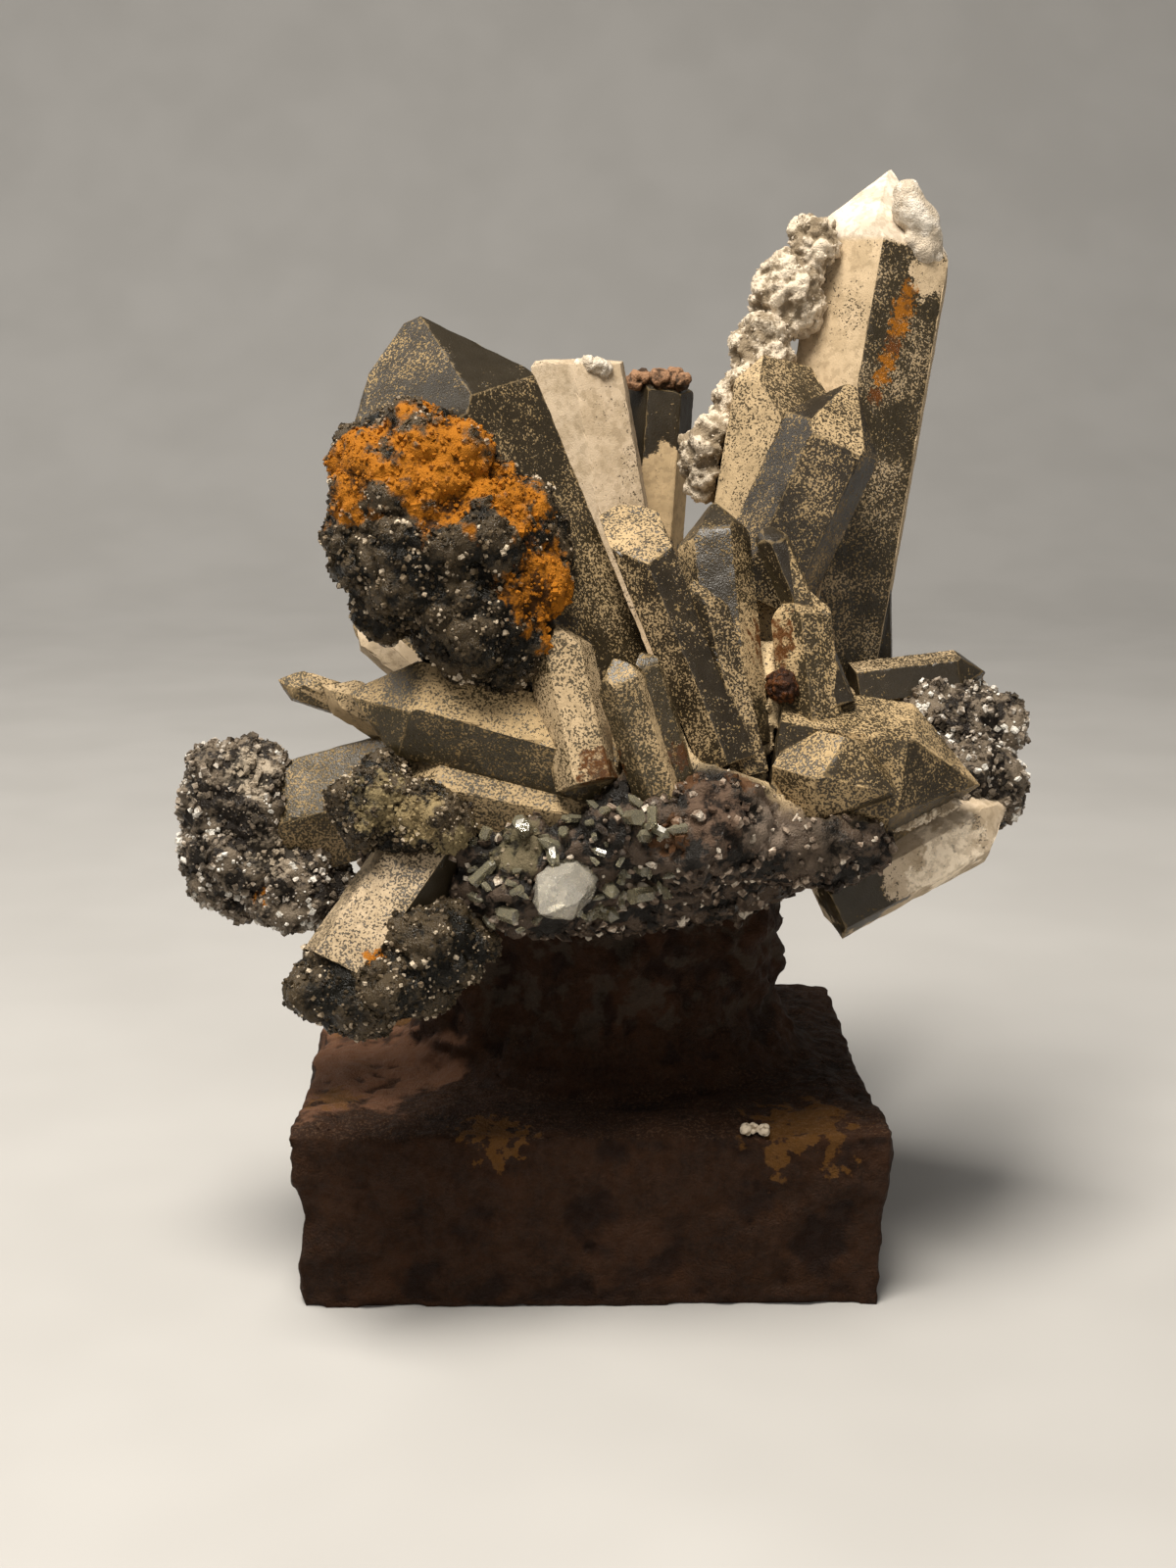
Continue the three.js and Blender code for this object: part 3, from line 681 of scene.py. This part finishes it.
def quartz_paint():
    """Dusty smoky quartz: a dark glassy body under a speckled coat of sand, after each facet's attributes."""
    paint = Paint("coated_quartz")
    cover = paint.attribute("cover")
    creamy = paint.attribute("creamy")
    olive = paint.attribute("olive")
    clear = paint.attribute("clear")
    worn = paint.attribute("worn")
    drift = paint.swing(9.0, 4, 0.30)
    settled = paint.times(paint.upward(0.3, 0.9), 0.03)
    share = paint.total(cover, drift, settled)
    for centre, radius, gain in COVER_PATCHES:
        share = paint.total(share, paint.times(paint.near(centre, radius), gain))
    cap = paint.past(*WHITE_CAP)
    share = paint.total(share, cap)
    speck = paint.total(*(paint.times(paint.cloud(size, detail), part) for size, detail, part in SPECK_SIZES))
    bare = paint.math("SUBTRACT", 1.0, share)
    lying = paint.step(paint.math("SUBTRACT", speck, bare), -0.035, 0.06)
    film = paint.step(share, 0.0, 1.0, *FILM)
    coat = paint.mix(creamy, SAND, CREAM)
    coat = paint.mix(cap, coat, WHITE)
    coat = paint.mix(paint.step(share, 0.20, 0.66), DUST, coat)
    coat = paint.mix(paint.step(paint.cloud(5.0, 5), 0.30, 0.80, 0.0, 0.34), coat, DULL_SAND)
    coat = paint.mix(paint.step(paint.cloud(1.3, 4), 0.50, 0.80, 0.0, 0.30), coat, DARK_SAND)
    body = paint.mix(olive, SMOKY, OLIVE)
    body = paint.mix(paint.times(paint.cloud(4.0, 5), 0.4), body, SMOKY_CLOUD)
    amount = paint.math("MAXIMUM", lying, film)
    edge = paint.step(paint.total(worn, paint.times(paint.cloud(1.6, 3), 0.45)), 0.88, 1.2, 0, 0.6)
    amount = paint.math("MAXIMUM", amount, edge)
    colour = paint.mix(amount, body, coat)
    # Stains, and on the right shard a patch of painted light
    for centre, radius, tint in STAINS_AND_PAINTED_LIGHT:
        spot = paint.near(centre, radius, 0.5)
        broken = paint.step(paint.cloud(1.4, 3), 0.1, 0.6, 0.4, 1.0)
        colour = paint.mix(paint.times(spot, broken), colour, tint)
    glass = paint.times(clear, paint.math("SUBTRACT", 1.0, amount))
    roughness = paint.step(amount, 0.0, 0.9, 0.32, 0.85)
    paint.bump(paint.total(lying, paint.times(paint.cloud(0.3, 2), 0.4)), 0.55, 0.12)
    paint.absorb(*SMOKY_ABSORPTION)
    return paint.finish(colour, roughness, Transmission_Weight=glass, IOR=QUARTZ_IOR, Specular_IOR_Level=0.2)


def clear_paint(name, colour):
    """Clear quartz, seen through."""
    paint = Paint(name)
    dust = paint.step(paint.cloud(1.2, 3), 0.45, 0.8, 0.04, 0.34)
    paint.bump(paint.cloud(1.5, 4), 0.25, 0.15)
    paint.absorb(*CLEAR_ABSORPTION)
    return paint.finish(colour, dust, Transmission_Weight=CLEAR_SHARE, IOR=QUARTZ_IOR)


def grain_paint(name, hollow_shade, ground, stops, shine, patches=(), sand=None, blotches=1.0, cling=0.96):
    """A mass of grains: dark painted shade in its low places, lighter ground, and grains coloured by their
    tone.
    """
    paint = Paint(name)
    tone = paint.attribute("tone")
    is_grain = paint.step(tone, 0.01, 0.04)
    patchy = paint.swing(4.5, 3, blotches)
    rise = paint.total(paint.attribute("rise"), paint.swing(0.7, 3, 0.5))
    # Painted shade: towards the low places of the relief the colour turns to the hollow colour, broken up by
    # the blotches
    base = paint.mix(paint.step(paint.total(rise, patchy), 0.35, 1.05), hollow_shade, ground)
    grains = paint.ramp(paint.total(tone, paint.times(patchy, 0.6)), stops)
    grains = paint.mix(paint.times(paint.cloud(0.5, 2), 0.45), grains, ground)
    colour = paint.mix(is_grain, base, grains)
    roughness = paint.step(paint.total(paint.times(tone, 0.5), paint.cloud(1.6, 3)), 0.3, 1.2, shine, 0.95)
    if sand:
        lying = paint.times(paint.upward(0.15, 0.6), paint.past((0, 0, 1), *sand))
        start, soft = sand
        everywhere_above = paint.past((0, 0, 1), start + 8, soft)
        lying = paint.math("MAXIMUM", lying, everywhere_above)
        behind_front_rim = paint.past((0, 1, 0), -50, 6)
        lying = paint.times(lying, behind_front_rim)
        speck = paint.total(paint.cloud(0.45, 1.5), paint.times(paint.cloud(3.0, 3), 0.5))
        lying = paint.times(lying, paint.step(speck, 0.22, 0.5))
        colour = paint.mix(lying, colour, PALE_SAND)
        roughness = paint.math("MAXIMUM", roughness, paint.times(lying, 0.9))
    for centre, radius, tint in patches:
        spot = paint.near(centre, radius, 0.45)
        # Painted shade: each patch is darkened towards its low places and keeps its own tint on the tops
        shaded_tint = tuple(0.12 * channel for channel in tint[:3]) + (1,)
        lit = paint.step(paint.total(rise, paint.times(patchy, 0.6)), -0.08, 0.55)
        shaded_pigment = paint.mix(lit, shaded_tint, tint)
        colour = paint.mix(paint.times(spot, cling), colour, shaded_pigment)
        roughness = paint.math("MAXIMUM", roughness, paint.times(spot, 0.85))
    paint.bump(paint.total(paint.cloud(0.35, 3), paint.cloud(0.9, 3)), 0.6, 0.25)
    return paint.finish(colour, roughness, Specular_IOR_Level=0.22)


def plaster_paint():
    """Reddish-brown hand-laid plaster with ochre tints and greyish patches on its neck, painted shade in its
    pits and a pool of painted light on the block's top towards the left.
    """
    paint = Paint("plaster")
    colour = paint.mix(paint.cloud(6.0, 5), PLASTER_BROWN, PLASTER_RED)
    colour = paint.mix(paint.times(paint.cloud(0.8, 4), 0.45), colour, PLASTER_WORN)
    colour = paint.mix(paint.step(paint.cloud(14.0, 4), 0.55, 0.95, 0, 0.5), colour, PLASTER_FADED)
    # Painted light: a pool of paler colour on the up-facing top of the block towards its left, where the
    # light falls
    top_left_light = paint.times(paint.near((-44, -6, 33), 20, 0.5), paint.upward(0.2, 0.8))
    colour = paint.mix(paint.times(top_left_light, 0.75), colour, PLASTER_PAINTED_LIGHT)
    # Painted shade: the pits and low places of the plaster are darkened
    pit_shade = paint.step(paint.attribute("rise"), 0.35, 0.0)
    colour = paint.mix(paint.times(pit_shade, 0.7), colour, PLASTER_PIT_SHADE)
    for centre, radius in PLASTER_TINTS:
        colour = paint.mix(paint.times(paint.near(centre, radius, 0.9), 0.6), colour, PLASTER_OCHRE)
    grey = paint.times(paint.past((0, 0, 1), NECK_START, 10), paint.step(paint.cloud(5.0, 4), 0.5, 0.8))
    colour = paint.mix(paint.times(grey, 0.55), colour, PLASTER_GREY)
    dust = paint.times(paint.upward(0.6, 0.95), paint.step(paint.cloud(0.5, 3), 0.62, 0.85))
    colour = paint.mix(paint.times(dust, 0.22), colour, PLASTER_DUST)
    paint.bump(paint.total(paint.cloud(0.4, 4), paint.times(paint.cloud(1.6, 4), 1.5)), 0.55, 0.35)
    roughness = paint.step(paint.cloud(2.0, 3), 0.0, 1.0, 0.62, 0.92)
    return paint.finish(colour, roughness, Specular_IOR_Level=0.16)


def stage_paint():
    """The pale floor and backdrop."""
    paint = Paint("pale_floor")
    colour = paint.mix(paint.cloud(60.0, 2), FLOOR_DARKER, FLOOR_PALER)
    return paint.finish(colour, 0.85)


# Pieces

def nearest_crystal(crystals, place):
    """The crystal whose axis is nearest to the place, counted in its own girths."""
    def girths_away(crystal):
        foot, tip, girth = Vector(crystal[0]), Vector(crystal[1]), crystal[2]
        axis = tip - foot
        along = clamped((place - foot).dot(axis) / axis.length_squared)
        return (place - foot - axis * along).length / girth
    return min(crystals, key=girths_away)


def facet_gain(face):
    """What the facet patches add to the cover of a facet that lies in one of their planes: sand, and on some
    facets painted shade and painted light.
    """
    for place, facing, gain in FACET_SAND_AND_SHADE:
        off_plane = abs((Vector(place) - face.verts[0].co / MM).dot(face.normal))
        if off_plane < PATCH_REACH and face.normal.dot(Vector(facing).normalized()) > SAME_FACING:
            return gain
    return 0.0


def crystal_piece(node, material, longest=CRYSTAL_EDGE):
    """Flat facets with worn edges and a fine relief. Each facet keeps how it is covered as attributes."""
    crystals = CRYSTALS[node]
    shape = cad_copy(node)
    bmesh.ops.triangulate(shape, faces=shape.faces)
    shape.verts.index_update()
    corners = np.array([v.co[:] for v in shape.verts]) / MM
    faces = np.array([[v.index for v in f.verts] for f in shape.faces])
    facet_normals = np.array([f.normal[:] for f in shape.faces])
    facets = []
    for face in shape.faces:
        crystal = nearest_crystal(crystals, face.calc_center_median() / MM)
        facet_draw = noise.cell(face.normal * 9.7 + Vector(crystal[1]) * 0.37)
        # The cover takes in the facet patches, which on some facets are painted shade and painted light
        cover = crystal[3] + FACET_SPREAD * (facet_draw - 0.5) + facet_gain(face)
        facets.append((cover,) + tuple(crystal[4:7]))
    shape.free()
    corners, faces, source = refined(corners, faces, np.arange(len(faces)), longest)
    worn = worn_corners(faces, facet_normals[source], len(corners))
    mesh = bpy.data.meshes.new(node)
    mesh.from_pydata((corners * MM).tolist(), [], faces.tolist())
    mesh.update()

    fine_relief = relief((cloud, 3.1, 0.10), (cloud, 1.2, 0.07))
    least, most = EDGE_LOSS

    def face_relief(place, normal, index):
        height = fine_relief(place, normal, index)
        if worn[index]:
            height -= most * max(0.0, cloud(place, WORN_STRETCH)) + least
        return height
    moved_out(mesh, face_relief)
    for column, name in enumerate(("cover", "creamy", "olive", "clear")):
        values = np.array(facets, np.float32)[source, column]
        mesh.attributes.new(name, "FLOAT", "FACE").data.foreach_set("value", np.ascontiguousarray(values))
    mesh.attributes.new("worn", "FLOAT", "POINT").data.foreach_set("value", worn.astype(np.float32))
    mesh.polygons.foreach_set("use_smooth", np.ones(len(mesh.polygons), bool))
    mesh.set_sharp_from_angle(angle=SHARP_ANGLE)
    return mesh_object(node.split("_crystal")[0] + "_facets", mesh, material)


def grained_piece(name, mesh, material, form, grains):
    """The mesh with relief, and batches of grains set in it."""
    heights = moved_out(mesh, form)
    draw = np.random.default_rng(sum(map(ord, name)))
    batches = [grains_on(mesh, draw=draw, **batch) for batch in grains]
    mesh.name = name
    return mesh_object(name, with_grains(mesh, heights, batches), material)


def mass_piece(name, node, material, voxel, form, grains):
    """A rough mass in the node's form."""
    return grained_piece(name, remeshed(cad_copy(node), voxel), material, form, grains)


def blob_piece(name, material, balls, voxel, form, grains=()):
    """A lump made of balls of (centre, radius), smoothed into one skin with relief."""
    shape = bmesh.new()
    for centre, radius in balls:
        bmesh.ops.create_icosphere(
            shape, subdivisions=3, radius=radius * MM, matrix=Matrix.Translation(Vector(centre) * MM)
        )
    return grained_piece(name, remeshed(shape, voxel), material, form, grains)


def shard_piece(name, material, carrier, count, wanted, small, large, seed):
    """Loose-looking broken crystals that stand in the carrier's surface, joined in one mesh."""
    draw = np.random.default_rng(seed)
    corners, faces, _ = grains_on(
        carrier.data, count, small, large, draw, prism_grain, wanted, sink=0.1, stretch=1.3
    )
    mesh = bpy.data.meshes.new(name)
    mesh.from_pydata(corners.tolist(), [], faces.tolist())
    mesh.update()
    return mesh_object(name, mesh, material)


def keep(piece, slot, *nodes):
    """Puts a piece on the part's one body and hides the nodes that it stands for. Its finish, `slot`, is not
    used.
    """
    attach(piece, "root")
    if nodes:
        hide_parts(*nodes)


def sandy_hollow(place, normal):
    """How much a place belongs to the sand-covered hollow between the crystals, from 0 to 1."""
    height = clamped((place.z - HOLLOW_HEIGHT) / HOLLOW_EDGE)
    behind_rim = clamped((place.y - HOLLOW_FRONT) / HOLLOW_EDGE)
    return height * behind_rim * clamped((normal.z - 0.1) / 0.3)


def rocky(place, normal):
    return 1 - sandy_hollow(place, normal)


def make_crystals(material):
    fine = {
        "front_crystals", "middle_crystals", "lower_left_crystal", "small_white_crystal",
        "right_outer_crystal",
    }
    for node in CRYSTALS:
        if node == "clear_front_crystal":
            continue
        longest = FINE_CRYSTAL_EDGE if node in fine else CRYSTAL_EDGE
        keep(crystal_piece(node, material, longest), "coated_quartz", node)


def make_matrix(material, glass):
    def smooth_hollow(place, normal, index):
        large_lumps = 1.5 * (lumps(place, 3.2) - 0.5)
        small_lumps = 0.9 * (lumps(place + SECOND_LUMPS, 1.6) - 0.5)
        swells = 0.8 * cloud(place, 6.5)
        rough = 1 - 0.85 * sandy_hollow(place, normal)
        return rough * (large_lumps + small_lumps + swells)
    coarse = dict(count=2600, small=0.8, large=3.0, maker=fine_grain, wanted=rocky)
    blocks = dict(count=2200, small=0.6, large=2.0, maker=cube_grain, wanted=rocky)
    points = dict(count=420, small=1.4, large=4.0, maker=prism_grain, wanted=rocky, sink=0.05)
    grains = [coarse, blocks, points]
    rock = mass_piece("matrix_rock_grains", "matrix_rock", material, ROCK_CELL, smooth_hollow, grains)
    keep(rock, "matrix", "matrix_rock")

    def front_rim(place, normal):
        within = GLASSY_X[0] < place.x < GLASSY_X[1] and GLASSY_Z[0] < place.z < GLASSY_Z[1]
        return 1.0 if within and place.y < GLASSY_Y and normal.y < 0 else 0.0
    keep(shard_piece("broken_glassy_crystals", glass, rock, 2600, front_rim, 2.0, 6.0, 11), "clear_quartz")


def make_masses(dark, pale, crust, rust):
    rough = relief((lumps, 6.5, 2.2), (lumps, 2.4, 1.1), (cloud, 1.3, 0.45), (cloud, 5.0, 1.0))
    fine = dict(count=2600, small=0.45, large=1.4, maker=fine_grain)
    blocks = dict(count=2400, small=0.4, large=1.3, maker=cube_grain)
    big = mass_piece("ochre_druse_grains", "ochre_druse", dark, BIG_DRUSE_CELL, rough, [fine, blocks])
    keep(big, "dark_grains", "ochre_druse")
    for node in ("middle_left_druse", "lower_left_druse"):
        some = [dict(fine, count=900), dict(blocks, count=900)]
        keep(mass_piece(node + "_grains", node, dark, DRUSE_CELL, rough, some), "dark_grains", node)
    for node in ("left_end_druse", "right_end_druse"):
        some = [dict(fine, count=1700, large=2.0), dict(blocks, count=1500, large=1.8)]
        keep(mass_piece(node + "_grains", node, pale, DRUSE_CELL, rough, some), "pale_grains", node)
    knobs = relief((lumps, 4.0, 0.7), (cloud, 3.0, 1.2), (cloud, 1.2, 0.8), (cloud, 0.6, 0.3))
    some = [dict(fine, count=900, small=0.3, large=0.9)]
    white = mass_piece("white_crust_knobs", "white_crust", crust, CRUST_CELL, knobs, some)
    keep(white, "pale_grains", "white_crust")
    ball = relief((lumps, 0.9, 0.5), (cloud, 0.5, 0.25))
    keep(mass_piece("rust_ball_grains", "rust_ball", rust, BALL_CELL, ball, []), "rust", "rust_ball")


def make_base(material, crust):
    swells = relief((cloud, 11, 0.8), (cloud, 3.8, 0.5), (cloud, 1.6, 0.25))

    def plaster(place, normal, index):
        side = 1 - abs(normal.z)
        on_top = max(0.0, normal.z)
        height = swells(place, normal, index)
        height += 0.6 * (ridges(place + Vector((3, 7, 1)), 12.0) - 0.5) * (0.4 + side)
        pit = noise.voronoi(place / 5.2)[0][0]
        height -= 1.3 * max(0.0, 0.25 - pit) / 0.25 * max(0.0, 0.4 + cloud(place, 9))
        from_corner = Vector((place.x - PITTED_CORNER[0], place.y - PITTED_CORNER[1], 0))
        left_pits = max(0.0, 1 - from_corner.length / PITTED_RADIUS) * on_top
        height -= 2.2 * left_pits * max(0.0, cloud(place, 2.6))
        crack = max(0.0, 1 - 9 * abs(noise.noise(place / 17 + Vector((2.1, 0.4, 5.2)))))
        height -= 0.7 * crack * (0.3 + 0.7 * max(0.0, cloud(place, 12)))
        if place.z > NECK_START:
            height += 1.4 * cloud(place, 6.0) + 1.2 * (lumps(place, 3.4) - 0.4)
        if place.z < FLAT_FOOT:
            height = min(0.0, height) * 0.4
        return height
    crumbs = dict(count=260, small=0.3, large=1.1, maker=fine_grain, sink=0.2)
    base = mass_piece("plastered_base", "display_base", material, BASE_CELL, plaster, [crumbs])
    underside = 0.0
    for vertex in base.data.vertices:
        vertex.co.z = max(vertex.co.z, underside)
    keep(base, "plaster", "display_base")
    crumb_balls = [((26.6, -38.6, 31.9), 0.9), ((27.8, -38.4, 32.0), 0.8), ((29.6, -38.9, 31.9), 0.9)]
    knobbly = relief((lumps, 0.8, 0.3))
    keep(blob_piece("pale_crumbs", crust, crumb_balls, FINE_CRUMB_CELL, knobbly), "pale_grains")


def make_lumps(crust, white, pinkish):
    """The tallest crystal's white lump, the crumbs on the back crystals and the ledge above the shard."""
    top, bottom, steps = Vector((56.6, 14.0, 186.0)), Vector((61.6, 15.0, 175.8)), 9
    shoulder = [
        (top.lerp(bottom, k / steps), 2.5 + 1.1 * math.sin(math.pi * k / steps)) for k in range(steps + 1)
    ]
    shoulder += [((59.8, 13.2, 176.6), 2.6), ((57.6, 12.6, 178.0), 1.9)]
    smooth = relief((cloud, 4.5, 0.7), (cloud, 1.8, 0.3))
    keep(blob_piece("white_shoulder_lump", white, shoulder, CRUST_CELL, smooth), "pale_grains")
    rim = [
        ((10.0 + 1.5 * k, 39.3 + 0.8 * (k % 3), 152.0 + 0.5 * (k % 2)), 1.35 + 0.2 * (k % 2))
        for k in range(7)
    ]
    crumbly = relief((lumps, 1.6, 0.9), (cloud, 0.8, 0.5))
    keep(blob_piece("pinkish_crumbs", pinkish, rim, CRUMB_CELL, crumbly), "pale_grains")
    bump = [((0.6, 27.0, 155.6), 1.7), ((2.6, 26.6, 155.4), 1.4), ((4.0, 27.2, 155.0), 1.1)]
    keep(blob_piece("pale_top_bump", white, bump, CRUMB_CELL, crumbly), "pale_grains")
    ledge = [((47.5 + 1.5 * k, -38.8 + 0.5 * k, 84.6 + 0.4 * k), 1.5 - 0.05 * k) for k in range(9)]
    ragged = relief((lumps, 1.6, 0.8), (cloud, 0.8, 0.4))
    grit = dict(count=260, small=0.4, large=1.1, maker=fine_grain)
    keep(blob_piece("white_ledge", crust, ledge, CRUMB_CELL, ragged, [grit]), "pale_grains")


def make_object():
    """Every piece that is seen, in its finish."""
    quartz = quartz_paint()
    glass = clear_paint("clear_quartz", CLEAR_GLASS)
    greenish_glass = clear_paint("broken_clear_quartz", GREENISH_GLASS)
    paints = {name: grain_paint(name, **finish) for name, finish in GRAIN_FINISHES.items()}
    make_crystals(quartz)
    make_matrix(paints["matrix"], greenish_glass)
    make_masses(paints["dark_grains"], paints["pale_grains"], paints["white_crust"], paints["rust"])
    make_base(plaster_paint(), paints["white_crust"])
    make_lumps(paints["white_crust"], paints["white_lump"], paints["pinkish_crumbs"])
    clear_crystal = crystal_piece("clear_front_crystal", glass, FINE_CRYSTAL_EDGE)
    keep(clear_crystal, "clear_quartz", "clear_front_crystal")


# Stage

def make_stage():
    """A pale floor that curves up into a backdrop."""
    half_width, front, back, rise, radius = 1.6, -1.4, 1.1, 1.8, 0.45
    steps = 12
    profile = [(front, 0.0)]
    for k in range(steps + 1):
        turn = k / steps * math.pi / 2
        profile.append((back - radius + radius * math.sin(turn), radius - radius * math.cos(turn)))
    profile.append((back, rise))
    corners = [(x, y, z) for y, z in profile for x in (-half_width, half_width)]
    faces = [(2 * k, 2 * k + 1, 2 * k + 3, 2 * k + 2) for k in range(len(profile) - 1)]
    mesh = bpy.data.meshes.new("pale_floor")
    mesh.from_pydata(corners, [], faces)
    mesh.polygons.foreach_set("use_smooth", np.ones(len(faces), bool))
    mesh_object("pale_floor", mesh, stage_paint())


def add_light(name, place, size, power, colour):
    """A square soft light that looks at the crystals."""
    light = bpy.data.lights.new(name, "AREA")
    light.shape = "SQUARE"
    light.size = size
    light.energy = power
    light.color = colour
    holder = bpy.data.objects.new(name, light)
    holder.location = place
    aim = Vector(LIT_PLACE) - Vector(place)
    holder.rotation_euler = aim.to_track_quat("-Z", "Y").to_euler()
    bpy.context.scene.collection.objects.link(holder)


def make_camera():
    camera = bpy.data.cameras.new("camera")
    camera.sensor_width = SENSOR_LONG_SIDE
    camera.lens = FOCAL_LENGTH
    camera.clip_start = NEAREST_SEEN
    holder = bpy.data.objects.new("camera", camera)
    holder.location = CAMERA_PLACE
    holder.rotation_euler = (math.pi / 2 - CAMERA_PITCH, 0, -CAMERA_YAW)
    bpy.context.scene.collection.objects.link(holder)
    bpy.context.scene.camera = holder


def make_lights():
    scene = bpy.context.scene
    world = bpy.data.worlds.new("soft_room")
    world.use_nodes = True
    background = world.node_tree.nodes["Background"]
    background.inputs["Color"].default_value = ROOM_LIGHT
    background.inputs["Strength"].default_value = ROOM_STRENGTH
    scene.world = world
    for lamp in LAMPS:
        add_light(*lamp)
    scene.view_settings.view_transform = "Standard"


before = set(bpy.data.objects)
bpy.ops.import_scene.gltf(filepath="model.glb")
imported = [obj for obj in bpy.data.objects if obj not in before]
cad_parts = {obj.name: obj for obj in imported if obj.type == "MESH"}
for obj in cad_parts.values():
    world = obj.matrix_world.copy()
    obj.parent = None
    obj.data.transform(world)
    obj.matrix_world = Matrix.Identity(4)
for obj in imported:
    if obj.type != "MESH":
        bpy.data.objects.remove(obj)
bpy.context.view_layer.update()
make_camera()
make_object()
make_stage()
make_lights()
